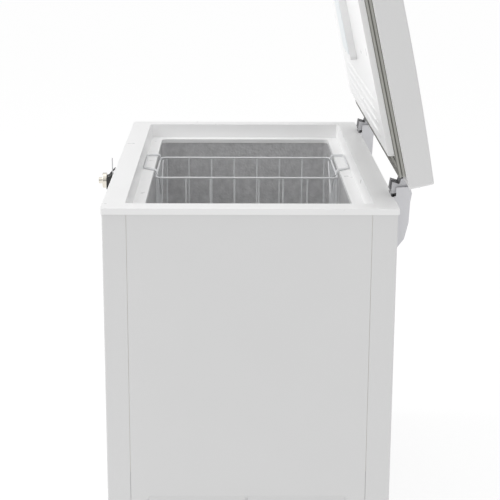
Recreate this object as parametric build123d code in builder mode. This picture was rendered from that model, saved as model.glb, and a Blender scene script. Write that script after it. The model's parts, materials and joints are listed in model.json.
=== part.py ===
from build123d import *
import os
from math import atan, cos, degrees, radians, sin

os.makedirs("parts", exist_ok=True)

# Chest freezer, millimetres. X runs along the cabinet, -Y is the front, +Z is up.
# The origin is on the floor under the middle of the cabinet.
# The lid stands open at rest: its pieces are drawn closed and then turned about the hinge pins.

# ---- driving dimensions ----
body_width = 980.0
body_depth = 560.0
body_bottom = 20.0
collar_top = 790.0
collar_thickness = 3.0
collar_overhang = 3.0
collar_lip = 12.0
sheet = 1.0
fit_gap = 0.3

front_wrap = 46.0
back_wrap = 48.0
seam = 0.6

opening_x = 416.0
opening_y = 208.0
opening_radius = 14.0
well_x = 449.0
well_y = 238.0
well_depth = 32.0
well_draft = 5.0

liner_sheet = 0.8
liner_gap = 2.5
liner_floor = 86.0
step_x = 180.0
step_z = 316.0
foam_wall = 60.0

lid_open = 77.4
hinge_y = 306.0
hinge_z = 805.0
hinge_x = 360.0
lid_front = -287.0
lid_back = 285.0
lid_under = 804.5
lid_edge_top = 850.8
lid_crown_top = 858.0

# ---- derived places ----
half_width = body_width / 2
half_depth = body_depth / 2
panel_top = collar_top - collar_thickness
panel_height = panel_top - body_bottom
lip_bottom = collar_top - collar_lip
ledge_top = collar_top - well_depth
ledge_bottom = ledge_top - collar_thickness
liner_x = opening_x + liner_gap
liner_y = opening_y + liner_gap
bay_x = step_x + liner_sheet + foam_wall
bay_top = step_z - liner_sheet - foam_wall
inside_x = half_width - sheet
inside_y = half_depth - sheet
hinge_axis = Axis((0, hinge_y, hinge_z), (1, 0, 0))


def finish(piece, name):
    """Label a finished piece and write its STEP file."""
    piece.part.label = name
    export_step(piece.part, f"parts/{name}.step")


def finish_on_lid(piece, name):
    """Turn a piece that was drawn with the lid closed to the open lid, and write it."""
    piece.part = piece.part.rotate(hinge_axis, -lid_open)
    finish(piece, name)


def tub(grow, rim):
    """The storage well with its raised step over the machine bay, grown outwards by grow."""
    with BuildPart() as shape:
        with BuildSketch(Plane.XZ):
            with BuildLine():
                Polyline(
                    (-liner_x - grow, liner_floor - grow),
                    (step_x + grow, liner_floor - grow),
                    (step_x + grow, step_z - grow),
                    (liner_x + grow, step_z - grow),
                    (liner_x + grow, rim),
                    (-liner_x - grow, rim),
                    close=True,
                )
            make_face()
        extrude(amount=liner_y + grow, both=True)
        fillet(shape.edges().filter_by(Axis.Z), opening_radius + liner_gap + grow)
        fillet(shape.edges().group_by(Axis.Z)[0], 10 + grow)
    return shape.part


# ================= refrigeration tubes that the foam is poured around =================
evaporator_tube = 8.0
evaporator_turns = 5
evaporator_pitch = 72.0
evaporator_start = 372.0
suction_x = step_x + 90
condenser_tube = 5.0
condenser_levels = 6
condenser_pitch = 74.0
condenser_start = 300.0

evaporator_bend = 18.0
evaporator_x = liner_x + liner_sheet + evaporator_tube / 2 + 0.1
evaporator_y = liner_y + liner_sheet + evaporator_tube / 2 + 0.1
condenser_x = inside_x - condenser_tube / 2 - 0.1
condenser_y = inside_y - condenser_tube / 2 - 0.1
condenser_end = inside_x - 40


def evaporator_points():
    """One tube wound round the well; the back run of each turn climbs to the next turn."""
    x = evaporator_x
    y = evaporator_y
    points = [(suction_x, y, evaporator_start - 90), (suction_x, y, evaporator_start)]
    for turn in range(evaporator_turns):
        z = evaporator_start + turn * evaporator_pitch
        points += [(x, y, z), (x, -y, z), (-x, -y, z), (-x, y, z)]
    points += [(x - 40, y, evaporator_start + evaporator_turns * evaporator_pitch)]
    return points


def condenser_points():
    """A serpentine behind the front, left and back panels, which warms the outer skin."""
    x = condenser_x
    y = condenser_y
    far = condenser_end
    points = [(far, -y, bay_top - 60)]
    for level in range(condenser_levels):
        z = condenser_start + level * condenser_pitch
        run = [(far, -y, z), (-x, -y, z), (-x, y, z), (far, y, z)]
        points += run if level % 2 == 0 else run[::-1]
    points[-1] = (far + 20, -y, z)
    points += [(far + 20, -y, bay_top - 60)]
    return points


def tube(points, diameter, bend):
    """A round tube along a route with rounded bends."""
    with BuildPart() as run:
        with BuildLine() as path:
            FilletPolyline(*points, radius=bend)
        with BuildSketch(Plane(path.line @ 0, z_dir=path.line % 0)):
            Circle(diameter / 2)
        sweep()
    return run.part


with BuildPart() as evaporator_coil:
    add(tube(evaporator_points(), evaporator_tube, evaporator_bend))
finish(evaporator_coil, "evaporator_coil")

with BuildPart() as condenser_coil:
    add(tube(condenser_points(), condenser_tube, 20))
finish(condenser_coil, "condenser_coil")

# ================= drain: well floor to the front =================
drain_x = -380.0
drain_y = -150.0
drain_z = 52.0
drain_bore = 14.0
drain_wall = 2.0
drain_outside = drain_bore + 2 * drain_wall

drain_route = [
    (drain_x, drain_y, liner_floor - liner_sheet - 0.1),
    (drain_x, drain_y, drain_z),
    (drain_x, -half_depth - 1, drain_z),
]
with BuildPart() as drain_tube:
    add(tube(drain_route, drain_outside, 12))
    add(tube(drain_route, drain_bore, 12), mode=Mode.SUBTRACT)
finish(drain_tube, "drain_tube")

# rubber plug in the well floor, lifted out to drain the well
with BuildPart() as inner_drain_plug:
    with BuildSketch(Plane.XY.offset(liner_floor + 0.2)):
        with Locations((drain_x, drain_y)):
            Circle(19)
    extrude(amount=4)
    with BuildSketch(Plane.XY.offset(liner_floor + 4.2)):
        with Locations((drain_x, drain_y)):
            Rectangle(22, 5)
    extrude(amount=9)
    with BuildSketch(Plane.XY.offset(liner_floor + 0.2)):
        with Locations((drain_x, drain_y)):
            Circle(drain_bore / 2 - 0.5)
    extrude(amount=-12)
    fillet(inner_drain_plug.edges().group_by(Axis.Z)[-1], 1.5)
finish(inner_drain_plug, "inner_drain_plug")

# cap over the outer end of the drain, pulled off forwards
with BuildPart() as outer_drain_cap:
    with BuildSketch(Plane.XZ.offset(half_depth + 1.3)):
        with Locations((drain_x, drain_z)):
            Circle(15)
    extrude(amount=9)
    with BuildSketch(Plane.XZ.offset(half_depth + 1.3)):
        with Locations((drain_x, drain_z)):
            Circle(drain_bore / 2 - 0.5)
    extrude(amount=-16)
    fillet(outer_drain_cap.edges().group_by(Axis.Y)[0], 3)
finish(outer_drain_cap, "outer_drain_cap")

# ================= compressor place and suction route =================
compressor_x = 372.0
compressor_y = -60.0
plate_bottom = 38.0
plate_thickness = 3.0
shell_bottom = plate_bottom + plate_thickness
shell_radius = 72.0
shell_height = 158.0
suction_z = shell_bottom + 60
suction_route = [
    (suction_x, evaporator_y, evaporator_start - 90.1),
    (suction_x, evaporator_y, bay_top - 40),
    (suction_x, compressor_y, bay_top - 40),
    (suction_x, compressor_y, suction_z),
    (compressor_x - shell_radius + 10, compressor_y, suction_z),
]

# ================= well liner =================
with BuildPart() as inner_liner:
    add(tub(liner_sheet, ledge_bottom))
    add(tub(0, ledge_bottom + 1), mode=Mode.SUBTRACT)
    with BuildSketch(Plane.XY.offset(liner_floor - 5)):
        with Locations((drain_x, drain_y)):
            Circle(drain_bore / 2)
    extrude(amount=10, mode=Mode.SUBTRACT)
finish(inner_liner, "inner_liner")

# ================= foam body =================
foam_gap = 0.1
with BuildPart() as foam_insulation:
    with BuildSketch(Plane.XZ):
        with BuildLine():
            Polyline(
                (-inside_x + foam_gap, body_bottom + 2 + foam_gap),
                (bay_x, body_bottom + 2 + foam_gap),
                (bay_x, bay_top),
                (inside_x - foam_gap, bay_top),
                (inside_x - foam_gap, panel_top),
                (-inside_x + foam_gap, panel_top),
                close=True,
            )
        make_face()
    extrude(amount=inside_y - foam_gap, both=True)
    add(tub(liner_sheet + foam_gap, panel_top + 1), mode=Mode.SUBTRACT)
    with BuildSketch(Plane.XY.offset(ledge_bottom)):
        Rectangle(2 * (well_x + 3.2), 2 * (well_y + 2.2))
    extrude(amount=panel_top - ledge_bottom + 1, mode=Mode.SUBTRACT)
    add(tube(evaporator_points(), evaporator_tube + 0.2, evaporator_bend), mode=Mode.SUBTRACT)
    add(tube(suction_route[:3], evaporator_tube + 0.2, 14), mode=Mode.SUBTRACT)
    add(tube(condenser_points(), condenser_tube + 0.2, 20), mode=Mode.SUBTRACT)
    add(tube(drain_route, drain_outside + 0.2, 12), mode=Mode.SUBTRACT)
finish(foam_insulation, "foam_insulation")

# ================= collar round the opening =================
hinge_width = 60.0
notch_front = 278.5
draft_angle = degrees(atan(well_draft / well_depth))

with BuildPart() as top_collar:
    with BuildSketch(Plane.XY.offset(panel_top)):
        RectangleRounded(body_width + 2 * collar_overhang, body_depth + 2 * collar_overhang, 5)
    extrude(amount=collar_thickness)
    fillet(top_collar.edges().group_by(Axis.Z)[-1], 1.5)
    with BuildSketch(Plane.XY.offset(lip_bottom)):
        RectangleRounded(body_width + 2 * collar_overhang, body_depth + 2 * collar_overhang, 5)
        RectangleRounded(body_width + 0.6, body_depth + 0.6, 3.2, mode=Mode.SUBTRACT)
    extrude(amount=panel_top - lip_bottom)
    with BuildSketch(Plane.XY.offset(ledge_bottom)):
        Rectangle(2 * (well_x + 3), 2 * (well_y + 2))
    extrude(amount=panel_top - ledge_bottom)
    with BuildSketch(Plane.XY.offset(ledge_bottom)):
        RectangleRounded(2 * opening_x + 4.4, 2 * opening_y + 4.4, opening_radius + 2.2)
    extrude(amount=-6)
    with BuildSketch(Plane.XY.offset(collar_top)):
        RectangleRounded(2 * well_x, 2 * well_y, 8)
    extrude(amount=-well_depth, taper=draft_angle, mode=Mode.SUBTRACT)
    with BuildSketch(Plane.XY.offset(ledge_bottom - 6)):
        RectangleRounded(2 * opening_x, 2 * opening_y, opening_radius)
    extrude(amount=10, mode=Mode.SUBTRACT)
    with BuildSketch(Plane.XY.offset(lip_bottom - 1)):
        for side in (-1, 1):
            with Locations((side * hinge_x, (notch_front + half_depth + 5) / 2)):
                Rectangle(hinge_width + 1, half_depth + 5 - notch_front)
    extrude(amount=collar_lip + 2, mode=Mode.SUBTRACT)
finish(top_collar, "top_collar")

# ================= outer skin =================
panel_edge_fillet = 3.0
control_x = 380.0
control_z = 100.0
control_width = 130.0
control_height = 74.0
inlet_x = 400.0
inlet_z = 70.0


def wrap_panel(side, wrap):
    """A front or back sheet whose ends turn round the corners of the cabinet."""
    with BuildPart() as panel:
        with BuildSketch(Plane.XY.offset(body_bottom)):
            with Locations((0, side * (half_depth - wrap / 2))):
                Rectangle(body_width, wrap)
            with Locations((0, side * (half_depth - wrap / 2 - sheet))):
                Rectangle(body_width - 2 * sheet, wrap, mode=Mode.SUBTRACT)
        extrude(amount=panel_height)
        upright = panel.edges().filter_by(Axis.Z)
        outer_corners = upright.filter_by(lambda e: abs(e.center().Y * side - half_depth) < 0.01)
        fillet(outer_corners, panel_edge_fillet)
    return panel.part


with BuildPart() as front_panel:
    add(wrap_panel(-1, front_wrap))
    with BuildSketch(Plane.XZ.offset(half_depth + 1)):
        with Locations((control_x, control_z)):
            Rectangle(control_width - 16, control_height - 16)
        with Locations((drain_x, drain_z)):
            Circle(drain_outside / 2 + 0.3)
    extrude(amount=-4, mode=Mode.SUBTRACT)
finish(front_panel, "front_panel")

with BuildPart() as back_panel:
    add(wrap_panel(1, back_wrap))
    with BuildSketch(Plane.XZ.offset(-half_depth - 1)):
        with Locations((inlet_x, inlet_z)):
            Circle(11)
    extrude(amount=4, mode=Mode.SUBTRACT)
finish(back_panel, "back_panel")

end_front = -half_depth + front_wrap + seam
end_back = half_depth - back_wrap - seam

with BuildPart() as left_end_panel:
    with BuildSketch(Plane.YZ.offset(-half_width)):
        with Locations(((end_front + end_back) / 2, body_bottom + panel_height / 2)):
            Rectangle(end_back - end_front, panel_height)
    extrude(amount=sheet)
finish(left_end_panel, "left_end_panel")

# the right end breathes through two columns of pressed louvres
louvre_rows = 6
louvre_pitch = 24.0
louvre_top = 203.0
louvre_drop = 14.0
louvre_reach = 6.0
louvre_columns = (-102.0, 94.5)
louvre_length = 191.0

with BuildPart() as right_end_panel:
    with BuildSketch(Plane.YZ.offset(inside_x)):
        with Locations(((end_front + end_back) / 2, body_bottom + panel_height / 2)):
            Rectangle(end_back - end_front, panel_height)
        for row in range(louvre_rows):
            slot_z = louvre_top - row * louvre_pitch - (louvre_drop + 2) / 2
            for column in louvre_columns:
                with Locations((column, slot_z)):
                    Rectangle(louvre_length, louvre_drop + 2, mode=Mode.SUBTRACT)
    extrude(amount=sheet)
    for column in louvre_columns:
        with BuildSketch(Plane.XZ.offset(-column)):
            for row in range(louvre_rows):
                top = louvre_top - row * louvre_pitch
                with BuildLine():
                    Polyline(
                        (inside_x, top),
                        (half_width, top),
                        (half_width + louvre_reach, top - louvre_drop),
                        (half_width + louvre_reach - sheet, top - louvre_drop),
                        close=True,
                    )
                make_face()
        extrude(amount=louvre_length / 2, both=True)
finish(right_end_panel, "right_end_panel")

# ================= base and feet =================
pan_thickness = 2.0
foot_x = 430.0
foot_y = 225.0
mount_x = 78.0
mount_y = 52.0
bolt_diameter = 8.0

with BuildPart() as base_pan:
    with BuildSketch(Plane.XY.offset(body_bottom)):
        Rectangle(2 * inside_x - 0.4, 2 * inside_y - 0.4)
        with Locations((compressor_x, 175)):
            with GridLocations(0, 16, 1, 6):
                SlotOverall(140, 7, mode=Mode.SUBTRACT)
        with Locations((compressor_x, compressor_y)):
            with GridLocations(2 * mount_x, 2 * mount_y, 2, 2):
                Circle(bolt_diameter / 2 + 0.05, mode=Mode.SUBTRACT)
    extrude(amount=pan_thickness)
finish(base_pan, "base_pan")

with BuildPart() as feet:
    with BuildSketch(Plane.XY.offset(body_bottom)):
        with GridLocations(2 * foot_x, 2 * foot_y, 2, 2):
            Circle(25)
    extrude(amount=-body_bottom, taper=14)
    fillet(feet.edges().group_by(Axis.Z)[0], 2)
finish(feet, "feet")

# folded sheet between the foam and the machine bay
with BuildPart() as bay_shield:
    with BuildSketch(Plane.XZ):
        with BuildLine():
            Polyline(
                (bay_x + 0.1, body_bottom + pan_thickness + 0.1),
                (bay_x + 0.9, body_bottom + pan_thickness + 0.1),
                (bay_x + 0.9, bay_top - 0.9),
                (inside_x - 0.2, bay_top - 0.9),
                (inside_x - 0.2, bay_top - 0.1),
                (bay_x + 0.1, bay_top - 0.1),
                close=True,
            )
        make_face()
    extrude(amount=inside_y - 0.2, both=True)
    add(tube(condenser_points(), condenser_tube + 1, 20), mode=Mode.SUBTRACT)
    with BuildSketch(Plane.XY.offset(bay_top - 5)):
        with Locations((suction_x, evaporator_y)):
            Circle(evaporator_tube / 2 + 1)
    extrude(amount=10, mode=Mode.SUBTRACT)
finish(bay_shield, "bay_shield")

# ================= compressor and its pipework =================

with BuildPart() as compressor_shell:
    with BuildSketch(Plane.XY.offset(shell_bottom)):
        with Locations((compressor_x, compressor_y)):
            Ellipse(shell_radius + 8, shell_radius)
    extrude(amount=shell_height)
    fillet(compressor_shell.edges().group_by(Axis.Z)[-1], 46)
    fillet(compressor_shell.edges().group_by(Axis.Z)[0], 20)
    with BuildSketch(Plane.XY.offset(shell_bottom + 84)):
        with Locations((compressor_x, compressor_y)):
            Ellipse(shell_radius + 12, shell_radius + 4)
    extrude(amount=5)
finish(compressor_shell, "compressor_shell")

with BuildPart() as compressor_plate:
    with BuildSketch(Plane.XY.offset(plate_bottom)):
        with Locations((compressor_x, compressor_y)):
            RectangleRounded(2 * mount_x + 36, 2 * mount_y + 30, 12)
            with GridLocations(2 * mount_x, 2 * mount_y, 2, 2):
                Circle(8.1, mode=Mode.SUBTRACT)
    extrude(amount=plate_thickness)
finish(compressor_plate, "compressor_plate")

pan_top = body_bottom + pan_thickness
grommet_steps = (
    (pan_top, plate_bottom - pan_top, 13),
    (plate_bottom, plate_thickness, 8),
    (shell_bottom, 4, 12),
)
with BuildPart() as compressor_grommets:
    for bottom, height, radius in grommet_steps:
        with BuildSketch(Plane.XY.offset(bottom)):
            with Locations((compressor_x, compressor_y)):
                with GridLocations(2 * mount_x, 2 * mount_y, 2, 2):
                    Circle(radius)
                    Circle(bolt_diameter / 2 + 0.1, mode=Mode.SUBTRACT)
        extrude(amount=height)
finish(compressor_grommets, "compressor_grommets")

with BuildPart() as compressor_bolts:
    with BuildSketch(Plane.XY.offset(body_bottom)):
        with Locations((compressor_x, compressor_y)):
            with GridLocations(2 * mount_x, 2 * mount_y, 2, 2):
                Circle(bolt_diameter / 2)
    extrude(amount=29)
    with BuildSketch(Plane.XY.offset(shell_bottom + 4)):
        with Locations((compressor_x, compressor_y)):
            with GridLocations(2 * mount_x, 2 * mount_y, 2, 2):
                RegularPolygon(7.5, 6)
    extrude(amount=6)
finish(compressor_bolts, "compressor_bolts")

# start relay and terminals, in a cover clipped to the back of the compressor
with BuildPart() as relay_cover:
    with BuildSketch(Plane.XY.offset(shell_bottom + 8)):
        with Locations((compressor_x, compressor_y + shell_radius + 4)):
            RectangleRounded(58, 46, 4)
        with Locations((compressor_x, compressor_y)):
            Ellipse(shell_radius + 12.2, shell_radius + 4.2, mode=Mode.SUBTRACT)
    extrude(amount=70)
finish(relay_cover, "relay_cover")

discharge_z = shell_bottom + 119
discharge_route = [
    (compressor_x, compressor_y - shell_radius + 5, discharge_z),
    (compressor_x, compressor_y - shell_radius - 50, discharge_z),
    (condenser_end, compressor_y - shell_radius - 50, discharge_z),
    (condenser_end, -condenser_y, discharge_z),
    (condenser_end, -condenser_y, bay_top - 60.1),
]
with BuildPart() as suction_tube:
    add(tube(suction_route, evaporator_tube, 14))
    add(compressor_shell.part, mode=Mode.SUBTRACT)
    add(bay_shield.part, mode=Mode.SUBTRACT)
finish(suction_tube, "suction_tube")

drier_x = condenser_end + 18
drier_y = -225.0
drier_bottom = 50.0
drier_length = 95.0
with BuildPart() as filter_drier:
    with BuildSketch(Plane.XZ.offset(-drier_y)):
        with BuildLine():
            Polyline(
                (drier_x, drier_bottom),
                (drier_x + 3, drier_bottom),
                (drier_x + 9, drier_bottom + 12),
                (drier_x + 9, drier_bottom + drier_length - 12),
                (drier_x + 3, drier_bottom + drier_length),
                (drier_x, drier_bottom + drier_length),
                close=True,
            )
        make_face()
    revolve(axis=Axis((drier_x, drier_y, 0), (0, 0, 1)))
finish(filter_drier, "filter_drier")

drier_top = drier_bottom + drier_length
liquid_route = [
    (condenser_end + 20, -condenser_y, bay_top - 60.1),
    (condenser_end + 20, -condenser_y, drier_top + 24),
    (drier_x, drier_y, drier_top + 24),
    (drier_x, drier_y, drier_top + 0.1),
]
with BuildPart() as condenser_tails:
    add(tube(discharge_route, condenser_tube, 12))
    add(tube(liquid_route, condenser_tube, 9))
    add(compressor_shell.part, mode=Mode.SUBTRACT)
finish(condenser_tails, "condenser_tails")

capillary_route = [
    (drier_x, drier_y, drier_bottom - 0.1),
    (drier_x, drier_y, body_bottom + 12),
    (drier_x, 200, body_bottom + 12),
    (suction_x + 12, 200, body_bottom + 12),
    (suction_x + 12, 200, bay_top - 1.2),
]
with BuildPart() as capillary_tube:
    add(tube(capillary_route, 2.4, 8))
finish(capillary_tube, "capillary_tube")

# ================= controls, low on the front of the machine bay =================
knob_x = control_x - 32
knob_radius = 18.0
knob_depth = 15.0
shaft_radius = 3.0
bezel_front = half_depth + 3.2
lamp_pitch = 15.0
lamp_x = control_x + 30

with BuildPart() as control_bezel:
    with BuildSketch(Plane.XZ.offset(half_depth + 0.1)):
        with Locations((control_x, control_z)):
            RectangleRounded(control_width, control_height, 8)
    extrude(amount=bezel_front - half_depth - 0.1)
    with BuildSketch(Plane.XZ.offset(half_depth + 0.1)):
        with Locations((control_x, control_z)):
            Rectangle(control_width - 17, control_height - 17)
            Rectangle(control_width - 21, control_height - 21, mode=Mode.SUBTRACT)
    extrude(amount=-14)
    with BuildSketch(Plane.XZ.offset(bezel_front + 1)):
        with Locations((knob_x, control_z)):
            Circle(shaft_radius + 1)
        with Locations((lamp_x, control_z)):
            with GridLocations(lamp_pitch, 0, 3, 1):
                Circle(3.2)
    extrude(amount=-8, mode=Mode.SUBTRACT)
finish(control_bezel, "control_bezel")

with BuildPart() as thermostat_body:
    with BuildSketch(Plane.XZ.offset(half_depth - 0.1)):
        with Locations((knob_x, control_z)):
            Rectangle(40, 46)
            Circle(shaft_radius + 0.05, mode=Mode.SUBTRACT)
    extrude(amount=-22)
    with BuildSketch(Plane.XZ.offset(half_depth - 22.1)):
        with Locations((knob_x, control_z)):
            Rectangle(40, 46)
    extrude(amount=-6)
finish(thermostat_body, "thermostat_body")

with BuildPart() as thermostat_knob:
    with BuildSketch(Plane.XZ.offset(bezel_front + 0.4)):
        with Locations((knob_x, control_z)):
            Circle(knob_radius)
    extrude(amount=5, taper=4)
    with BuildSketch(Plane.XZ.offset(bezel_front + 5.4)):
        with Locations((knob_x, control_z)):
            SlotOverall(2 * knob_radius - 3, 10, rotation=90)
    extrude(amount=knob_depth - 5, taper=3)
    with BuildSketch(Plane.XZ.offset(bezel_front + 0.4)):
        with Locations((knob_x, control_z)):
            Circle(shaft_radius)
    extrude(amount=-22)
finish(thermostat_knob, "thermostat_knob")

with BuildPart() as indicator_lenses:
    with BuildSketch(Plane.XZ.offset(bezel_front - 4)):
        with Locations((lamp_x, control_z)):
            with GridLocations(lamp_pitch, 0, 3, 1):
                Circle(3)
    extrude(amount=5.5)
    fillet(indicator_lenses.edges().group_by(Axis.Y)[0], 1.4)
finish(indicator_lenses, "indicator_lenses")

with BuildPart() as mains_inlet_gland:
    with BuildSketch(Plane.XZ.offset(-half_depth - 0.1)):
        with Locations((inlet_x, inlet_z)):
            RegularPolygon(15, 6)
            Circle(4.5, mode=Mode.SUBTRACT)
    extrude(amount=-7)
    with BuildSketch(Plane.XZ.offset(-inside_y + 16)):
        with Locations((inlet_x, inlet_z)):
            Circle(10.5)
            Circle(4.5, mode=Mode.SUBTRACT)
    extrude(amount=-30)
finish(mains_inlet_gland, "mains_inlet_gland")

# ================= lid, drawn closed =================
lid_middle = (lid_front + lid_back) / 2
lid_corner = 7.0
lid_flange = 30.0
gasket_outer = 21.0
gasket_width = 16.0
gasket_bottom = collar_top + 0.6
liner_flange_z = lid_under - 1.1
plug_bottom = 780.6
plug_x = 441.0
plug_front = -234.0
plug_back = 231.0
plug_middle = (plug_front + plug_back) / 2
plug_draft = 12.0
plug_wall = 1.2


def lid_block(inset):
    """The outer shape of the lid with its crowned top, shrunk by inset on all but the under side."""
    front = lid_front + inset
    back = lid_back - inset
    edge = lid_edge_top - inset
    with BuildPart() as block:
        with BuildSketch(Plane.YZ):
            with BuildLine():
                Polyline((front, edge), (front, lid_under), (back, lid_under), (back, edge))
                ThreePointArc((back, edge), (lid_middle, lid_crown_top - inset), (front, edge))
            make_face()
        extrude(amount=half_width - inset, both=True)
        fillet(block.edges().filter_by(Axis.Z), lid_corner - inset)
    return block.part


def lid_ring(inset, width, bottom, height):
    """A rectangular ring that lies inset from the lid's edges."""
    with BuildPart() as ring:
        with BuildSketch(Plane.XY.offset(bottom)):
            with Locations((0, lid_middle)):
                size_x = body_width - 2 * inset
                size_y = lid_back - lid_front - 2 * inset
                RectangleRounded(size_x, size_y, 8)
                RectangleRounded(size_x - 2 * width, size_y - 2 * width, 4, mode=Mode.SUBTRACT)
        extrude(amount=height)
    return ring.part


with BuildPart() as lid_outer_shell:
    add(lid_block(0))
    top_edges = lid_outer_shell.edges().filter_by(lambda e: e.center().Z > lid_edge_top - 1)
    fillet(top_edges, 3)
    add(lid_block(sheet), mode=Mode.SUBTRACT)
    add(lid_ring(sheet, lid_flange - sheet, lid_under, sheet))
finish_on_lid(lid_outer_shell, "lid_outer_shell")

plug_depth = liner_flange_z - plug_bottom
plug_size_y = plug_back - plug_front
with BuildPart() as lid_inner_liner:
    add(lid_ring(15, 35, liner_flange_z, 1))
    with BuildSketch(Plane.XY.offset(liner_flange_z + 1)):
        with Locations((0, plug_middle)):
            RectangleRounded(2 * plug_x, plug_size_y, 16)
    extrude(amount=-plug_depth - 1, taper=plug_draft)
    with BuildSketch(Plane.XY.offset(liner_flange_z + 1)):
        with Locations((0, plug_middle)):
            RectangleRounded(2 * plug_x - 2 * plug_wall, plug_size_y - 2 * plug_wall, 15)
    extrude(amount=-plug_depth - 1 + plug_wall, taper=plug_draft, mode=Mode.SUBTRACT)
finish_on_lid(lid_inner_liner, "lid_inner_liner")

with BuildPart() as lid_foam:
    add(lid_block(sheet + 0.1))
    with BuildSketch(Plane.XY.offset(lid_under - 1)):
        with Locations((0, lid_middle)):
            Rectangle(body_width, body_depth + 40)
    extrude(amount=sheet + 1.1, mode=Mode.SUBTRACT)
    with BuildSketch(Plane.XY.offset(liner_flange_z + 1)):
        with Locations((0, plug_middle)):
            RectangleRounded(2 * plug_x - 2 * plug_wall - 0.4, plug_size_y - 2 * plug_wall - 0.4, 15)
    extrude(amount=-plug_depth - 0.8 + plug_wall, taper=plug_draft)
    with BuildSketch(Plane.XY.offset(liner_flange_z + 1)):
        with Locations((0, plug_middle)):
            Rectangle(2 * plug_x - 4, plug_size_y - 4)
    extrude(amount=3)
finish_on_lid(lid_foam, "lid_foam")

gasket_height = liner_flange_z - gasket_bottom
with BuildPart() as lid_gasket:
    add(lid_ring(gasket_outer, gasket_width, gasket_bottom, gasket_height))
    add(lid_ring(gasket_outer - 1, 2.6, gasket_bottom + 4.6, 3), mode=Mode.SUBTRACT)
    add(lid_ring(gasket_outer + gasket_width - 1.6, 3, gasket_bottom + 4.6, 3), mode=Mode.SUBTRACT)
finish_on_lid(lid_gasket, "lid_gasket")

# lamp in the middle of the inner liner
lamp_box_x = 170.0
lamp_box_y = 140.0
lamp_middle = 10.0
lamp_drop = 14.0
lamp_rim = 24.0

with BuildPart() as lamp_housing:
    with BuildSketch(Plane.XY.offset(plug_bottom - 0.1)):
        with Locations((0, lamp_middle)):
            RectangleRounded(lamp_box_x, lamp_box_y, 8)
    extrude(amount=-lamp_drop, taper=4)
    with BuildSketch(Plane.XY.offset(plug_bottom - 0.1)):
        with Locations((0, lamp_middle)):
            RectangleRounded(lamp_box_x - lamp_rim, lamp_box_y - lamp_rim, 6)
    extrude(amount=-lamp_drop - 1, mode=Mode.SUBTRACT)
finish_on_lid(lamp_housing, "lamp_housing")

with BuildPart() as lamp_lens:
    with BuildSketch(Plane.XY.offset(plug_bottom - lamp_drop + 3)):
        with Locations((0, lamp_middle)):
            RectangleRounded(lamp_box_x - lamp_rim - 0.2, lamp_box_y - lamp_rim - 0.2, 5.9)
    extrude(amount=-4)
finish_on_lid(lamp_lens, "lamp_lens")

# ================= hinges =================
pin_radius = 2.5
pin_clearance = 0.05
cover_wall = 2.0
cover_half = hinge_width / 2
ear_inner = 24.2
ear_outer = 26.2
arm_half = 22.2
arm_wall = 2.0
slot_half = 9.6
cam_half = 5.0
lever = 10.4
cam_start = 24.0
plunger_radius = 8.0
plunger_head = 8.0
plunger_y = hinge_y - lever
plunger_top_open = hinge_z - cam_start + lever * radians(lid_open) - fit_gap
spring_floor = 714.0
spring_radius = 6.0
spring_wire = 2.2
stem_radius = 3.5


def hinge_outline(inset):
    """Side outline of the hinge cover, shrunk by inset where the cover has a wall."""
    front_low = half_depth + fit_gap
    front_high = half_depth + collar_overhang + fit_gap
    return [
        (front_low, 676 + inset),
        (289, 684 + inset),
        (305 - inset, 705 + inset / 2),
        (313 - inset, 738),
        (315 - inset, 780),
        (318 - inset, 797),
        (314 - inset, 809.8),
        (hinge_y - 19, 808.5),
        (hinge_y - 19, collar_top + 1),
        (front_high, collar_top + 1),
        (front_high, lip_bottom - 1),
        (front_low, lip_bottom - 1),
    ]


def cam_profile():
    """The lid arm's cam: the involute that lifts a flat plunger by the same step per degree."""
    steps = 8
    points = []
    for i in range(steps + 1):
        turn = radians(lid_open) * i / steps
        drop = cam_start - lever * turn
        y = -lever * cos(turn) + drop * sin(turn)
        z = -lever * sin(turn) - drop * cos(turn)
        points.append((hinge_y + y, hinge_z + z))
    return points


def hinge_cover(x):
    """Moulded cover on the back panel, open at the top for the lid arm."""
    with BuildPart() as cover:
        with BuildSketch(Plane.YZ.offset(x - cover_half)):
            with BuildLine():
                Polyline(*hinge_outline(0), close=True)
            make_face()
        extrude(amount=hinge_width)
        with BuildSketch(Plane.YZ.offset(x - cover_half + cover_wall)):
            with BuildLine():
                inner = hinge_outline(cover_wall)
                Polyline(
                    (inner[0][0] - 1, inner[0][1] + 2),
                    *inner[1:6],
                    (inner[6][0], inner[6][1] + 1),
                    (half_depth - 1, 812),
                    close=True,
                )
            make_face()
        extrude(amount=hinge_width - 2 * cover_wall, mode=Mode.SUBTRACT)
    return cover


def hinge_bracket(x):
    """Folded steel bracket screwed to the back panel; its two ears hold the pin."""
    plate_y = half_depth + fit_gap
    with BuildPart() as bracket:
        with BuildSketch(Plane.XZ.offset(-plate_y)):
            with Locations((x, 737)):
                Rectangle(2 * ear_outer, 74)
        extrude(amount=-arm_wall)
        for ear in (x - ear_outer, x + ear_inner):
            with BuildSketch(Plane.YZ.offset(ear)):
                with BuildLine():
                    Polyline(
                        (plate_y, 700),
                        (plate_y, 774),
                        (287, 778),
                        (288.5, 798),
                        (hinge_y - 4.5, hinge_z),
                        (hinge_y + 4.5, hinge_z),
                        (311.5, 796),
                        (310, 745),
                        (300, 712),
                        (292, 700),
                        close=True,
                    )
                make_face()
                with Locations((hinge_y, hinge_z)):
                    Circle(4.5)
                    Circle(pin_radius, mode=Mode.SUBTRACT)
            extrude(amount=arm_wall)
        with BuildSketch(Plane.XY.offset(spring_floor - arm_wall)):
            with Locations((x, (plate_y + 301) / 2)):
                Rectangle(2 * ear_outer, 301 - plate_y)
        extrude(amount=arm_wall)
    return bracket


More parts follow.
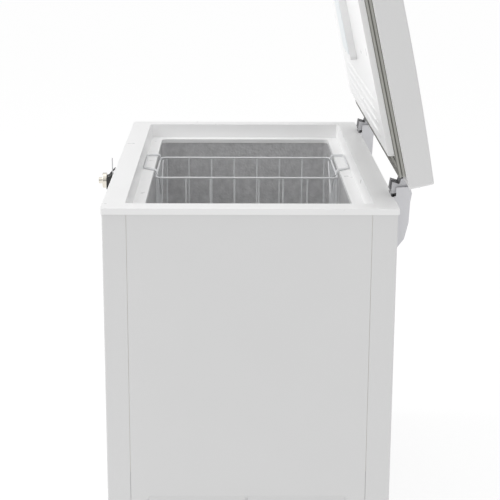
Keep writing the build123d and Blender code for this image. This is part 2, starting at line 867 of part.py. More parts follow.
def hinge_screws(x):
    """Three pan-head screws that hold the bracket to the back panel."""
    with BuildPart() as screws:
        with BuildSketch(Plane.XZ.offset(-half_depth - fit_gap - arm_wall)):
            with Locations((x - 14, 760), (x + 14, 760), (x, 705)):
                Circle(4.5)
        extrude(amount=-2.6)
        fillet(screws.edges().group_by(Axis.Y)[-1], 1.2)
    return screws


def hinge_pin(x):
    """Riveted pin through both ears and the lid arm."""
    with BuildPart() as pin:
        with BuildSketch(Plane.YZ.offset(x - ear_outer)):
            with Locations((hinge_y, hinge_z)):
                Circle(pin_radius)
        extrude(amount=2 * ear_outer)
        with BuildSketch(Plane.YZ.offset(x - ear_outer - 1)):
            with Locations((hinge_y, hinge_z)):
                Circle(4)
        extrude(amount=1)
        with BuildSketch(Plane.YZ.offset(x + ear_outer)):
            with Locations((hinge_y, hinge_z)):
                Circle(4)
        extrude(amount=1)
    return pin


def hinge_arm(x):
    """Lid arm, drawn closed: leaf on the lid's back face, web, two side walls, hub and cam."""
    leaf_y = lid_back + 0.2
    web = [(-20.8, 36), (-20.8, -4.5), (-11.5, -10.4), (-18.4, -22.6), (-0.6, -29.4), (4.0, -28.6)]
    inner_web = [(3.6, -27.0), (-0.4, -27.6), (-15.6, -21.6), (-8.8, -10.0), (-18.8, -3.4), (-18.8, 36)]
    with BuildPart() as arm:
        with BuildSketch(Plane.YZ.offset(x - arm_half)):
            with BuildLine():
                Polyline(*[(hinge_y + y, hinge_z + z) for y, z in web + inner_web], close=True)
            make_face()
        extrude(amount=2 * arm_half)
        for wall in (x - arm_half, x + arm_half - arm_wall):
            with BuildSketch(Plane.YZ.offset(wall)):
                with BuildLine():
                    Polyline(
                        (leaf_y, hinge_z + 14),
                        *[(hinge_y + y, hinge_z + z) for y, z in web[1:]],
                        (hinge_y + 6, hinge_z - 1),
                        (hinge_y + 2, hinge_z + 5.6),
                        (hinge_y - 10, hinge_z + 7),
                        close=True,
                    )
                make_face()
                with Locations((hinge_y, hinge_z)):
                    Circle(6)
            extrude(amount=arm_wall)
        with BuildSketch(Plane.XY.offset(hinge_z - 40)):
            with Locations((x, plunger_y)):
                Rectangle(2 * slot_half, 30)
        extrude(amount=27, mode=Mode.SUBTRACT)
        with BuildSketch(Plane.YZ.offset(x - arm_half)):
            with Locations((hinge_y, hinge_z)):
                Circle(6)
        extrude(amount=2 * arm_half)
        with BuildSketch(Plane.YZ.offset(x - cam_half)):
            with BuildLine():
                Polyline(
                    *cam_profile(),
                    (hinge_y + 6, hinge_z),
                    (hinge_y, hinge_z + 6),
                    (hinge_y - 8, hinge_z),
                    (hinge_y - 14, hinge_z - 20),
                    close=True,
                )
            make_face()
        extrude(amount=2 * cam_half)
        with BuildSketch(Plane.YZ.offset(x - arm_half - 1)):
            with Locations((hinge_y, hinge_z)):
                Circle(pin_radius + pin_clearance)
        extrude(amount=2 * arm_half + 2, mode=Mode.SUBTRACT)
        with BuildSketch(Plane.XZ.offset(-lid_back)):
            with Locations((x - 12, hinge_z + 27), (x + 12, hinge_z + 27)):
                Circle(2.6)
        extrude(amount=-4, mode=Mode.SUBTRACT)
    return arm


def hinge_leaf_screws(x):
    """Two screws that hold the arm's leaf to the back of the lid, drawn closed."""
    with BuildPart() as screws:
        for side in (-12, 12):
            with BuildSketch(Plane.XZ.offset(-lid_back - 2.2)):
                with Locations((x + side, hinge_z + 27)):
                    Circle(4.5)
            extrude(amount=-2.4)
            with BuildSketch(Plane.XZ.offset(-lid_back - 0.1)):
                with Locations((x + side, hinge_z + 27)):
                    Circle(2.4)
            extrude(amount=-2.1)
    return screws


def hinge_cap(x):
    """Moulded hood over the arm's leaf, drawn closed."""
    with BuildPart() as cap:
        with BuildSketch(Plane.YZ.offset(x - cover_half)):
            with BuildLine():
                Polyline(
                    (lid_back + 0.2, hinge_z + 6.6),
                    (hinge_y - 7, hinge_z + 6.6),
                    (hinge_y + 2.7, hinge_z + 26),
                    (hinge_y - 6, hinge_z + 36),
                    (lid_back + 0.2, hinge_z + 40),
                    close=True,
                )
            make_face()
        extrude(amount=hinge_width)
        with BuildSketch(Plane.YZ.offset(x - arm_half - 0.4)):
            with BuildLine():
                Polyline(
                    (lid_back - 1, hinge_z - 1),
                    (hinge_y - 8, hinge_z - 1),
                    (hinge_y - 8.5, hinge_z + 8),
                    (hinge_y - 0.5, hinge_z + 25),
                    (hinge_y - 8, hinge_z + 33.6),
                    (lid_back - 1, hinge_z + 38),
                    close=True,
                )
            make_face()
        extrude(amount=2 * arm_half + 0.8, mode=Mode.SUBTRACT)
    return cap


def hinge_plunger(x):
    """Cup-headed plunger that the spring presses up against the cam, drawn at the open lid."""
    with BuildPart() as plunger:
        with BuildSketch(Plane.XY.offset(plunger_top_open - plunger_head)):
            with Locations((x, plunger_y)):
                Circle(plunger_radius)
        extrude(amount=plunger_head)
        with BuildSketch(Plane.XY.offset(spring_floor + 20)):
            with Locations((x, plunger_y)):
                Circle(stem_radius)
        extrude(amount=plunger_top_open - plunger_head - spring_floor - 20)
    return plunger


def hinge_spring(x):
    """Compression spring between the bracket's floor and the plunger's head."""
    height = plunger_top_open - plunger_head - spring_floor - spring_wire
    with BuildPart() as spring:
        with BuildLine(Plane((x, plunger_y, spring_floor + spring_wire / 2))) as path:
            Helix(pitch=height / 11, height=height, radius=spring_radius)
        with BuildSketch(Plane(path.line @ 0, z_dir=path.line % 0)):
            Circle(spring_wire / 2)
        sweep()
    return spring


def pair(make):
    """The same piece on the left and the right hinge, as two solids of one part."""
    with BuildPart() as both:
        add(make(-hinge_x).part)
        add(make(hinge_x).part)
    return both


finish(pair(hinge_cover), "hinge_covers")
finish(pair(hinge_bracket), "hinge_brackets")
finish(pair(hinge_screws), "hinge_screws")
finish(pair(hinge_pin), "hinge_pins")
finish_on_lid(pair(hinge_arm), "hinge_arms")
finish_on_lid(pair(hinge_cap), "hinge_caps")
for end, x in (("left", -hinge_x), ("right", hinge_x)):
    finish(hinge_plunger(x), f"hinge_plunger_{end}")
    finish(hinge_spring(x), f"hinge_spring_{end}")

# ================= lock =================
lock_z = 740.0
lock_half = 20.0
lock_face = 311.0
barrel_radius = 17.0
barrel_front = 320.5
plug_radius = 7.0
plug_front_y = 329.0
cam_y = 298.5
cam_sheet = 1.6
cam_reach = 50.0
keeper_x = 36.0
keeper_y = 287.2

with BuildPart() as lock_body:
    with BuildSketch(Plane.YZ.offset(-lock_half)):
        with BuildLine():
            Polyline(
                (-half_depth - 0.1, 754),
                (-301, 754),
                (-lock_face, 749),
                (-lock_face, 724),
                (-302, 721),
                (-half_depth - 0.1, 732),
                close=True,
            )
        make_face()
    extrude(amount=2 * lock_half)
    fillet(lock_body.edges().filter_by(Axis.Y), 3)
    with BuildSketch(Plane.XZ.offset(cam_y + 1.6)):
        with Locations((9, lock_z + 4)):
            Rectangle(36, 26)
    extrude(amount=-3.2, mode=Mode.SUBTRACT)
    with BuildSketch(Plane.XZ.offset(lock_face + 1)):
        with Locations((0, lock_z)):
            Circle(plug_radius + 0.06)
    extrude(amount=-18, mode=Mode.SUBTRACT)
finish(lock_body, "lock_body")

with BuildPart() as lock_hood:
    with BuildSketch(Plane.YZ.offset(-17)):
        with BuildLine():
            Polyline(
                (-305.3, 754.2),
                (-302.2, 754.2),
                (-291.6, 764.4),
                (-293.8, 766.6),
                close=True,
            )
        make_face()
    extrude(amount=9)
finish(lock_hood, "lock_hood")

with BuildPart() as lock_barrel:
    with BuildSketch(Plane.XZ.offset(lock_face + 0.1)):
        with Locations((0, lock_z)):
            Circle(barrel_radius)
            Circle(plug_radius + 0.06, mode=Mode.SUBTRACT)
    extrude(amount=barrel_front - lock_face - 0.1)
    fillet(lock_barrel.edges().group_by(Axis.Y)[0].sort_by(SortBy.RADIUS)[-1], 1.5)
finish(lock_barrel, "lock_barrel")

with BuildPart() as lock_plug:
    with BuildSketch(Plane.XZ.offset(cam_y + 0.9)):
        with Locations((0, lock_z)):
            Circle(plug_radius)
    extrude(amount=plug_front_y - cam_y - 0.9)
    with BuildSketch(Plane.XZ.offset(plug_front_y)):
        with Locations((0, lock_z)):
            Rectangle(1.6, 9)
    extrude(amount=-5, mode=Mode.SUBTRACT)
finish(lock_plug, "lock_plug")

with BuildPart() as lock_cam:
    with BuildSketch(Plane.XZ.offset(cam_y - cam_sheet / 2)):
        with Locations((0, lock_z)):
            Circle(6.5)
        with Locations((0, lock_z + cam_reach / 2)):
            Rectangle(9, cam_reach)
    extrude(amount=cam_sheet)
finish(lock_cam, "lock_cam")

# keeper on the front of the lid, drawn closed; the turned cam lies over its toe
with BuildPart() as lid_keeper:
    with BuildSketch(Plane.XZ.offset(keeper_y)):
        with Locations((keeper_x, (728 + 836) / 2)):
            Rectangle(18, 836 - 728)
    extrude(amount=2)
    with BuildSketch(Plane.XY.offset(728)):
        with Locations((keeper_x, -(keeper_y + 303) / 2)):
            Rectangle(18, 303 - keeper_y)
    extrude(amount=2.5)
finish_on_lid(lid_keeper, "lid_keeper")

with BuildPart() as lid_screws:
    with BuildSketch(Plane.XZ.offset(keeper_y + 2)):
        with Locations((keeper_x, 815), (keeper_x, 829)):
            Circle(4)
    extrude(amount=2.2)
    fillet(lid_screws.edges().group_by(Axis.Y)[0], 1)
    add(hinge_leaf_screws(-hinge_x).part)
    add(hinge_leaf_screws(hinge_x).part)
finish_on_lid(lid_screws, "lid_screws")

# ================= basket =================
basket_right = 10.0
basket_left = -224.0
basket_y = 202.0
basket_rim_z = 748.0
basket_floor_z = 548.0
basket_mid_z = 615.0
rim_wire = 4.4
grid_wire = 3.4
handle_wire = 3.4
cross_pitch = 54.0
cross_count = 6
long_count = 4
long_pitch = 46.8
basket_mid_x = (basket_left + basket_right) / 2
basket_size_x = basket_right - basket_left
grid_top = basket_rim_z - rim_wire / 2


def wire_between(start, end, diameter):
    """A straight round wire."""
    axis = Vector(*end) - Vector(*start)
    with BuildPart() as wire:
        with BuildSketch(Plane(start, z_dir=axis)):
            Circle(diameter / 2)
        extrude(amount=axis.length)
    return wire.part


with BuildPart() as basket_rim:
    with BuildLine() as rim_path:
        with BuildLine(Plane.XY.offset(basket_rim_z)):
            FilletPolyline(
                (basket_left, 0),
                (basket_left, -basket_y),
                (basket_right, -basket_y),
                (basket_right, basket_y),
                (basket_left, basket_y),
                (basket_left, 0.001),
                radius=12,
            )
    with BuildSketch(Plane(rim_path.line @ 0, z_dir=rim_path.line % 0)):
        Circle(rim_wire / 2)
    sweep()
finish(basket_rim, "basket_rim")

cross_ys = [cross_pitch * (i - (cross_count - 1) / 2) for i in range(cross_count)]
long_xs = [basket_mid_x + long_pitch * (i - (long_count - 1) / 2) for i in range(long_count)]
grid_y = basket_y - 14
grid_x = basket_size_x / 2 - 14

for name, x in (("basket_left_grid", basket_left), ("basket_right_grid", basket_right)):
    with BuildPart() as grid:
        for y in [-grid_y] + cross_ys + [grid_y]:
            add(wire_between((x, y, basket_floor_z), (x, y, grid_top), grid_wire))
        for z in (basket_floor_z, basket_mid_z):
            add(wire_between((x, -grid_y - 4, z), (x, grid_y + 4, z), grid_wire))
    finish(grid, name)

for name, y in (("basket_front_grid", -basket_y), ("basket_back_grid", basket_y)):
    with BuildPart() as grid:
        for x in [basket_mid_x - grid_x] + long_xs + [basket_mid_x + grid_x]:
            add(wire_between((x, y, basket_floor_z), (x, y, grid_top), grid_wire))
        for z in (basket_floor_z, basket_mid_z):
            start = (basket_mid_x - grid_x - 4, y, z)
            add(wire_between(start, (basket_mid_x + grid_x + 4, y, z), grid_wire))
    finish(grid, name)

floor_y = basket_y - grid_wire / 2 - 0.1
floor_x = basket_size_x / 2 - grid_wire / 2 - 0.1
with BuildPart() as basket_floor_grid:
    for y in cross_ys:
        start = (basket_mid_x - floor_x, y, basket_floor_z)
        add(wire_between(start, (basket_mid_x + floor_x, y, basket_floor_z), grid_wire))
    for x in long_xs:
        add(wire_between((x, -floor_y, basket_floor_z), (x, floor_y, basket_floor_z), grid_wire))
finish(basket_floor_grid, "basket_floor_grid")

handle_reach = 28.8
handle_rest = ledge_top + handle_wire / 2 + fit_gap
eye_inner = rim_wire / 2 + 0.35
eye_outer = eye_inner + 2.0
handle_near = -14.0
handle_far = -200.0
handle_taper = 30.0

for name, side in (("basket_handle_front", -1), ("basket_handle_back", 1)):
    inner = side * basket_y
    outer = side * (basket_y + handle_reach)
    with BuildPart() as handle:
        with BuildLine() as path:
            FilletPolyline(
                (handle_near, inner, basket_rim_z + eye_inner + 1),
                (handle_near, inner, handle_rest),
                (handle_near - handle_taper, outer, handle_rest),
                (handle_far, outer, handle_rest),
                (handle_far, inner, handle_rest),
                (handle_far, inner, basket_rim_z + eye_inner + 1),
                radius=4,
            )
        with BuildSketch(Plane(path.line @ 0, z_dir=path.line % 0)):
            Circle(handle_wire / 2)
        sweep()
        for x in (handle_near, handle_far):
            with BuildSketch(Plane.YZ.offset(x - 2)):
                with Locations((inner, basket_rim_z)):
                    Circle(eye_outer)
                    Circle(eye_inner, mode=Mode.SUBTRACT)
            extrude(amount=4)
    finish(handle, name)
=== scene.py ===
import json
from math import cos, pi, radians, sin

import bpy
from mathutils import Matrix, Vector


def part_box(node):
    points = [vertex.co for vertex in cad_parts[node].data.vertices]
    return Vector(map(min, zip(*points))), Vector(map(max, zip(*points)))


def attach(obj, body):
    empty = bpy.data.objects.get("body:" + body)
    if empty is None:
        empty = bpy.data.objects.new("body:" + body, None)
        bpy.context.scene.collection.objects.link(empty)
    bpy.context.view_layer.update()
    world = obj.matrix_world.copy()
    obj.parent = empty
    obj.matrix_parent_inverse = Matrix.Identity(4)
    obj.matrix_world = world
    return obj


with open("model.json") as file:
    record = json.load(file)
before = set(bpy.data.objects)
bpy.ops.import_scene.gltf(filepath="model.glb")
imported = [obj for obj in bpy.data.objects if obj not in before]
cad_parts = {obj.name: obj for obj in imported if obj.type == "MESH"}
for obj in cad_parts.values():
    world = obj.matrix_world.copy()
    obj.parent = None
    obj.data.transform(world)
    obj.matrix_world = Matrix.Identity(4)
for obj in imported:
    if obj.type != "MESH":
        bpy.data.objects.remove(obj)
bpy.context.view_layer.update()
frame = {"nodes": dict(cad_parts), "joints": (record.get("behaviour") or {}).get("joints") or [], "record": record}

# The row's frame, in metres: +X is the machine-bay end, -Y the front, +Z up.
# The lid stands open at rest, so what belongs to it is drawn closed and then turned about the hinge.
lid_joint = next(joint for joint in frame["joints"] if joint["name"] == "lid_hinge")
lid_open = radians(lid_joint["range_deg"][1])
hinge = Vector(lid_joint["pos_m"])
to_open = Matrix.Translation(hinge) @ Matrix.Rotation(-lid_open, 4, "X") @ Matrix.Translation(-hinge)


# ---------------------------------------------------------------- materials
def noise(nodes, links, coords, scale, detail=3.0):
    """A noise texture on the object's own coordinates."""
    texture = nodes.new("ShaderNodeTexNoise")
    texture.inputs["Scale"].default_value = scale
    texture.inputs["Detail"].default_value = detail
    texture.inputs["Roughness"].default_value = 0.5
    links.new(coords.outputs["Object"], texture.inputs["Vector"])
    return texture.outputs["Fac"]


def remap(nodes, links, source, low, high):
    """Stretches a 0..1 value to low..high."""
    node = nodes.new("ShaderNodeMapRange")
    node.inputs["To Min"].default_value = low
    node.inputs["To Max"].default_value = high
    links.new(source, node.inputs["Value"])
    return node.outputs["Result"]


def relief(nodes, links, height, depth):
    """A bump node of a given depth in metres."""
    bump = nodes.new("ShaderNodeBump")
    bump.inputs["Strength"].default_value = 1.0
    bump.inputs["Distance"].default_value = depth
    links.new(height, bump.inputs["Height"])
    return bump


def finish_material(name, colour, rough, spread=0.03, grain=500.0, depth=0.00006, metallic=0.0,
                    patch=9.0, rough_spread=0.06, coat=0.0, specular=0.5, stucco=0.0):
    """A surface with slow tone and gloss changes and a fine relief; stucco adds pressed pebbles."""
    mat = bpy.data.materials.new(name)
    mat.use_nodes = True
    nodes = mat.node_tree.nodes
    links = mat.node_tree.links
    shader = nodes["Principled BSDF"]
    shader.inputs["Metallic"].default_value = metallic
    shader.inputs["Coat Weight"].default_value = coat
    shader.inputs["Coat Roughness"].default_value = 0.15
    shader.inputs["Specular IOR Level"].default_value = specular
    coords = nodes.new("ShaderNodeTexCoord")

    tone = nodes.new("ShaderNodeValToRGB")
    dark, light = tone.color_ramp.elements
    dark.position = 0.3
    light.position = 0.7
    dark.color = [c * (1 - spread) for c in colour] + [1]
    light.color = [min(1.0, c * (1 + spread)) for c in colour] + [1]
    links.new(noise(nodes, links, coords, patch, 4.0), tone.inputs["Fac"])
    links.new(tone.outputs["Color"], shader.inputs["Base Color"])

    cloud = noise(nodes, links, coords, patch * 6)
    gloss = remap(nodes, links, cloud, rough - rough_spread, rough + rough_spread)
    links.new(gloss, shader.inputs["Roughness"])

    bump = relief(nodes, links, noise(nodes, links, coords, grain, 2.0), depth)
    links.new(bump.outputs["Normal"], shader.inputs["Normal"])
    if stucco:
        cells = nodes.new("ShaderNodeTexVoronoi")
        cells.feature = "SMOOTH_F1"
        cells.inputs["Scale"].default_value = stucco
        cells.inputs["Smoothness"].default_value = 0.7
        links.new(coords.outputs["Object"], cells.inputs["Vector"])
        pebbles = relief(nodes, links, cells.outputs["Distance"], 0.0006)
        links.new(bump.outputs["Normal"], pebbles.inputs["Normal"])
        links.new(pebbles.outputs["Normal"], shader.inputs["Normal"])
    return mat


# one finish for each material slot, and one more for the hinge arms
finishes = {
    "panel_white": dict(
        colour=(0.74, 0.74, 0.74), rough=0.36, spread=0.012, grain=900, depth=0.00002, patch=3.0, coat=0.15),
    "collar_plastic": dict(
        colour=(0.90, 0.90, 0.90), rough=0.30, spread=0.01, grain=700, depth=0.00002, patch=5.0),
    "hinge_cover_plastic": dict(
        colour=(0.76, 0.76, 0.785), rough=0.45, spread=0.02, grain=1200, depth=0.00008),
    "liner_aluminium": dict(
        colour=(0.68, 0.68, 0.685), rough=0.42, spread=0.10, grain=420, depth=0.0003,
        metallic=0.55, patch=60.0, rough_spread=0.12, stucco=170.0),
    "foam": dict(
        colour=(0.74, 0.70, 0.60), rough=0.9, spread=0.08, grain=300, depth=0.0004, patch=20.0),
    "zinc_steel": dict(
        colour=(0.55, 0.55, 0.56), rough=0.34, spread=0.08, grain=250, depth=0.00005,
        metallic=0.9, patch=40.0),
    "dark_steel": dict(
        colour=(0.12, 0.12, 0.125), rough=0.45, spread=0.15, grain=300, depth=0.00005,
        metallic=0.6, patch=50.0),
    "copper": dict(
        colour=(0.72, 0.36, 0.22), rough=0.35, spread=0.12, grain=300, depth=0.00005,
        metallic=1.0, patch=30.0),
    "compressor_black": dict(
        colour=(0.015, 0.015, 0.016), rough=0.35, spread=0.2, grain=500, depth=0.0002, coat=0.3),
    "black_rubber": dict(
        colour=(0.025, 0.025, 0.025), rough=0.75, spread=0.15, grain=900, depth=0.0001, specular=0.3),
    "gasket_rubber": dict(
        colour=(0.40, 0.40, 0.37), rough=0.55, spread=0.06, grain=900, depth=0.00005, patch=14.0),
    "black_plastic": dict(
        colour=(0.022, 0.022, 0.020), rough=0.42, spread=0.2, grain=1500, depth=0.0001),
    "lock_chrome": dict(
        colour=(0.80, 0.76, 0.68), rough=0.14, spread=0.05, grain=600, depth=0.00001, metallic=1.0),
    "grey_plastic": dict(
        colour=(0.42, 0.43, 0.45), rough=0.5, spread=0.04, grain=1300, depth=0.00008),
    "indicator_green": dict(
        colour=(0.05, 0.42, 0.12), rough=0.18, spread=0.05, grain=300, depth=0.00001),
    "lamp_diffuser": dict(
        colour=(0.80, 0.84, 0.86), rough=0.35, spread=0.01, grain=1400, depth=0.0001),
    "basket_wire": dict(
        colour=(0.74, 0.75, 0.76), rough=0.32, spread=0.03, grain=400, depth=0.00006, coat=0.2),
    # the hinge arms' plated finish; painted shade is laid on the web of the arms further down
    "hinge_arm_painted_shade": dict(
        colour=(0.62, 0.62, 0.64), rough=0.42, spread=0.06, grain=300, depth=0.00005,
        metallic=0.35, patch=50.0),
}
materials = {name: finish_material(name, **finish) for name, finish in finishes.items()}


def calculate(tree, operation, *values):
    """One math node; each value is a number or a socket."""
    node = tree.nodes.new("ShaderNodeMath")
    node.operation = operation
    for socket, value in zip(node.inputs, values):
        if isinstance(value, (int, float)):
            socket.default_value = value
        else:
            tree.links.new(value, socket)
    return node.outputs["Value"]


def tint(tree, factor, colour):
    """Multiplies the base colour by another colour where factor is 1."""
    base = tree.nodes["Principled BSDF"].inputs["Base Color"]
    mix = tree.nodes.new("ShaderNodeMix")
    mix.data_type = "RGBA"
    mix.blend_type = "MULTIPLY"
    first, second = [socket for socket in mix.inputs if socket.type == "RGBA"]
    second.default_value = (*colour, 1)
    tree.links.new(factor, mix.inputs["Factor"])
    tree.links.new(base.links[0].from_socket, first)
    tree.links.new(next(socket for socket in mix.outputs if socket.type == "RGBA"), base)


def closed_height(tree):
    """The height that a point on the open lid has when the lid is closed."""
    coords = tree.nodes.new("ShaderNodeTexCoord")
    mapping = tree.nodes.new("ShaderNodeMapping")
    mapping.inputs["Rotation"].default_value = (lid_open, 0, 0)
    mapping.inputs["Location"].default_value = hinge - Matrix.Rotation(lid_open, 3, "X") @ hinge
    tree.links.new(coords.outputs["Object"], mapping.inputs["Vector"])
    split = tree.nodes.new("ShaderNodeSeparateXYZ")
    tree.links.new(mapping.outputs["Vector"], split.inputs["Vector"])
    return split.outputs["Z"]


def paint_gasket_groove_shade():
    """Painted shade darkens the grooves that run between the ribs of the lid gasket."""
    groove_height = 0.7967
    groove_pitch = 0.0064
    tree = materials["gasket_rubber"].node_tree
    above = calculate(tree, "SUBTRACT", closed_height(tree), groove_height)
    wave = calculate(tree, "COSINE", calculate(tree, "MULTIPLY", above, 2 * pi / groove_pitch))
    groove_shade = calculate(tree, "POWER", calculate(tree, "MAXIMUM", wave, 0.0), 1.5)
    # painted shade: this tint darkens the rubber in each groove between the ribs
    tint(tree, groove_shade, (0.28, 0.27, 0.26))


def paint_shade_on_arm_web():
    """The hinge arms have plated sides, which face along X; painted shade darkens the web between them, picked out
    by the direction each face turns.
    """
    tree = materials["hinge_arm_painted_shade"].node_tree
    coords = tree.nodes.new("ShaderNodeTexCoord")
    normal = tree.nodes.new("ShaderNodeSeparateXYZ")
    tree.links.new(coords.outputs["Normal"], normal.inputs["Vector"])
    shaded_web = calculate(tree, "LESS_THAN", calculate(tree, "ABSOLUTE", normal.outputs["X"]), 0.5)
    # painted shade: faces that do not face along X, the arm's web, are darkened as if they were in shadow
    tint(tree, shaded_web, (0.12, 0.12, 0.125))


paint_gasket_groove_shade()
paint_shade_on_arm_web()

finish_of = {row["node"]: row["material_slot"] for row in frame["record"]["subparts"]}
finish_of["hinge_arms"] = "hinge_arm_painted_shade"
for name, node in frame["nodes"].items():
    for material_slot in node.material_slots:
        material_slot.material = materials[finish_of[name]]


# ---------------------------------------------------------------- edges of the CAD pieces
def soften(name, width, segments=3):
    """Rounds the sharp edges of a CAD piece, so that they catch the light as moulded or folded ones do."""
    bevel = frame["nodes"][name].modifiers.new("soft_edges", "BEVEL")
    bevel.width = width
    bevel.segments = segments
    bevel.limit_method = "ANGLE"
    bevel.angle_limit = radians(35)


for name in ("front_panel", "back_panel", "left_end_panel", "right_end_panel", "lid_gasket"):
    soften(name, 0.0008, 2)
for name in ("lid_outer_shell", "top_collar", "hinge_covers", "hinge_caps", "lamp_housing"):
    soften(name, 0.0012)
for name in ("lock_body", "control_bezel", "thermostat_knob", "relay_cover"):
    soften(name, 0.0008)
soften("lid_inner_liner", 0.003, 4)


# ---------------------------------------------------------------- the basket's second wires
handle_wire = 0.0017
rim_wire = 0.0022
thin_wire = 0.0016

rim_low, rim_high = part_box("basket_rim")
handle_low, handle_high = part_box("basket_handle_front")
handle_reach = max(abs(handle_low.y), abs(handle_high.y)) - handle_wire
handle_height = handle_high.z - handle_wire
near, far = handle_high.x, handle_low.x


def bent(points, radius, steps=5):
    """The route through the points with each inner corner turned into an arc-like bend."""
    route = [Vector(points[0])]
    for before, corner, after in zip(points, points[1:], points[2:]):
        corner = Vector(corner)
        back = (Vector(before) - corner).normalized() * radius
        ahead = (Vector(after) - corner).normalized() * radius
        for i in range(steps + 1):
            t = i / steps
            route.append(corner + back * (1 - t) ** 2 + ahead * t ** 2)
    route.append(Vector(points[-1]))
    return route


def wire(name, route, body):
    """A thin round basket wire along a route, which rides on a body."""
    curve = bpy.data.curves.new(name, "CURVE")
    curve.dimensions = "3D"
    curve.bevel_depth = thin_wire
    curve.bevel_resolution = 4
    spline = curve.splines.new("POLY")
    spline.points.add(len(route) - 1)
    for point, place in zip(spline.points, route):
        point.co = (*place, 1)
    curve.materials.append(materials["basket_wire"])
    obj = bpy.data.objects.new(name, curve)
    bpy.context.scene.collection.objects.link(obj)
    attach(obj, body)


def second_leg(name, x, slant, side, handle):
    """Rises from the rim beside a leg of the handle and runs out along the handle, shifted by slant."""
    inner = side * (rim_high.y - rim_wire)
    on_rim = (x, inner, rim_high.z + 0.0008)
    over_rim = (x, inner, handle_height)
    at_bar = (x + slant, side * handle_reach, handle_height)
    wire(name, bent([on_rim, over_rim, at_bar], 0.004), handle)


def brace(name, side):
    """A V that hangs from the rim, just inside one side of the basket."""
    y = side * (rim_high.y - rim_wire - 0.0062)
    inset = 0.004
    drop = 0.062
    first = (near - inset, y, rim_low.z)
    apex = ((near + far) / 2, y, rim_low.z - drop)
    last = (far + inset, y, rim_low.z)
    wire(name, bent([first, apex, last], 0.01), "basket")


for side, handle in ((-1, "front_handle"), (1, "back_handle")):
    second_leg(f"handle_second_near_{handle}", near - 0.010, -0.027, side, handle)
    second_leg(f"handle_second_far_{handle}", far + 0.010, 0.0, side, handle)
    brace(f"basket_brace_{handle}", side)


# ---------------------------------------------------------------- ribs pressed in the lid's inner face
def rib(name, y_middle):
    """A long low rib along X that fades out at its ends."""
    half_length = 0.36
    width = 0.016
    height = 0.0024
    face = 0.7807
    across = 10
    along = 24
    vertices = []
    for i in range(along + 1):
        x = -half_length + 2 * half_length * i / along
        fade = min(1.0, 4.0 * (1 - abs(x) / half_length) + 0.02)
        for j in range(across + 1):
            t = j / across
            z = face - height * fade * sin(pi * t) ** 2
            vertices.append(to_open @ Vector((x, y_middle + (t - 0.5) * width, z)))
    row = across + 1
    corners = [i * row + j for i in range(along) for j in range(across)]
    mesh = bpy.data.meshes.new(name)
    mesh.from_pydata(vertices, [], [(a, a + 1, a + row + 1, a + row) for a in corners])
    mesh.update()
    mesh.polygons.foreach_set("use_smooth", [True] * len(mesh.polygons))
    mesh.materials.append(materials["collar_plastic"])
    obj = bpy.data.objects.new(name, mesh)
    bpy.context.scene.collection.objects.link(obj)
    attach(obj, "lid")


# four towards the hinges and four towards the lid's front edge, with the lamp between the groups
rib_pitch = 0.024
rib_places = [first - i * rib_pitch for first in (0.200, -0.115) for i in range(4)]
for number, place in enumerate(rib_places):
    rib(f"lid_rib_{number}", place)


# ---------------------------------------------------------------- stage, light, camera
def pale_floor():
    """A wide plain floor that glows a little, so that it stays near white under soft light."""
    size = 45.0
    mesh = bpy.data.meshes.new("floor")
    corners = [(-size, -size, 0), (size, -size, 0), (size, size, 0), (-size, size, 0)]
    mesh.from_pydata(corners, [], [(0, 1, 2, 3)])
    mat = bpy.data.materials.new("floor")
    mat.use_nodes = True
    shader = mat.node_tree.nodes["Principled BSDF"]
    shader.inputs["Base Color"].default_value = (0.30, 0.30, 0.30, 1)
    shader.inputs["Roughness"].default_value = 0.9
    shader.inputs["Specular IOR Level"].default_value = 0.0
    shader.inputs["Emission Color"].default_value = (1, 1, 1, 1)
    shader.inputs["Emission Strength"].default_value = 0.74
    mesh.materials.append(mat)
    obj = bpy.data.objects.new("floor", mesh)
    bpy.context.scene.collection.objects.link(obj)


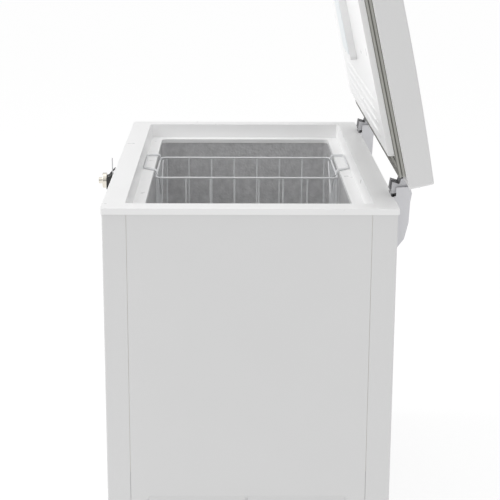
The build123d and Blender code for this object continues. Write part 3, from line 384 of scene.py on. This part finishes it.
def studio_world():
    """White surroundings that grow brighter from the horizon upwards."""
    world = bpy.data.worlds.new("studio")
    bpy.context.scene.world = world
    world.use_nodes = True
    nodes = world.node_tree.nodes
    links = world.node_tree.links
    sky = nodes["Background"]
    sky.inputs["Color"].default_value = (1, 1, 1, 1)
    coords = nodes.new("ShaderNodeTexCoord")
    split = nodes.new("ShaderNodeSeparateXYZ")
    height = nodes.new("ShaderNodeMapRange")
    height.inputs["From Min"].default_value = 0.0
    height.inputs["From Max"].default_value = 0.9
    height.inputs["To Min"].default_value = 0.36
    height.inputs["To Max"].default_value = 1.0
    links.new(coords.outputs["Generated"], split.inputs["Vector"])
    links.new(split.outputs["Z"], height.inputs["Value"])
    links.new(height.outputs["Result"], sky.inputs["Strength"])


def soft_light(name, place, target, size, power):
    """A square area light that faces a target."""
    light = bpy.data.lights.new(name, "AREA")
    light.shape = "SQUARE"
    light.size = size
    light.energy = power
    obj = bpy.data.objects.new(name, light)
    obj.location = place
    obj.rotation_euler = (Vector(target) - Vector(place)).to_track_quat("-Z", "Y").to_euler()
    bpy.context.scene.collection.objects.link(obj)


def end_camera():
    """Looks at the machine-bay end from a little above the open cabinet."""
    place = Vector((3.0399, -0.0393, 1.3815))
    yaw, pitch, roll = radians(0.892), radians(14.775), radians(0.283)
    ahead = Vector((-cos(pitch) * cos(yaw), cos(pitch) * sin(yaw), -sin(pitch)))
    level_right = ahead.cross(Vector((0, 0, 1))).normalized()
    level_up = level_right.cross(ahead)
    right = level_right * cos(roll) + level_up * sin(roll)
    up = level_up * cos(roll) - level_right * sin(roll)
    turn = Matrix((right, up, -ahead)).transposed().to_4x4()

    data = bpy.data.cameras.new("camera")
    data.sensor_width = 36.0
    data.lens = 100.14
    data.clip_end = 200.0
    camera = bpy.data.objects.new("camera", data)
    camera.matrix_world = Matrix.Translation(place) @ turn
    bpy.context.scene.collection.objects.link(camera)
    bpy.context.scene.camera = camera


pale_floor()
studio_world()
soft_light("key", (0.2, -3.0, 3.2), (0, 0, 0.7), 2.4, 35)
soft_light("fill", (-0.4, -3.2, 1.5), (0, 0.3, 1.0), 2.2, 28)
soft_light("top", (-0.4, 0.2, 4.2), (0, 0, 0.7), 2.6, 8)
end_camera()
bpy.context.scene.view_settings.view_transform = "Standard"
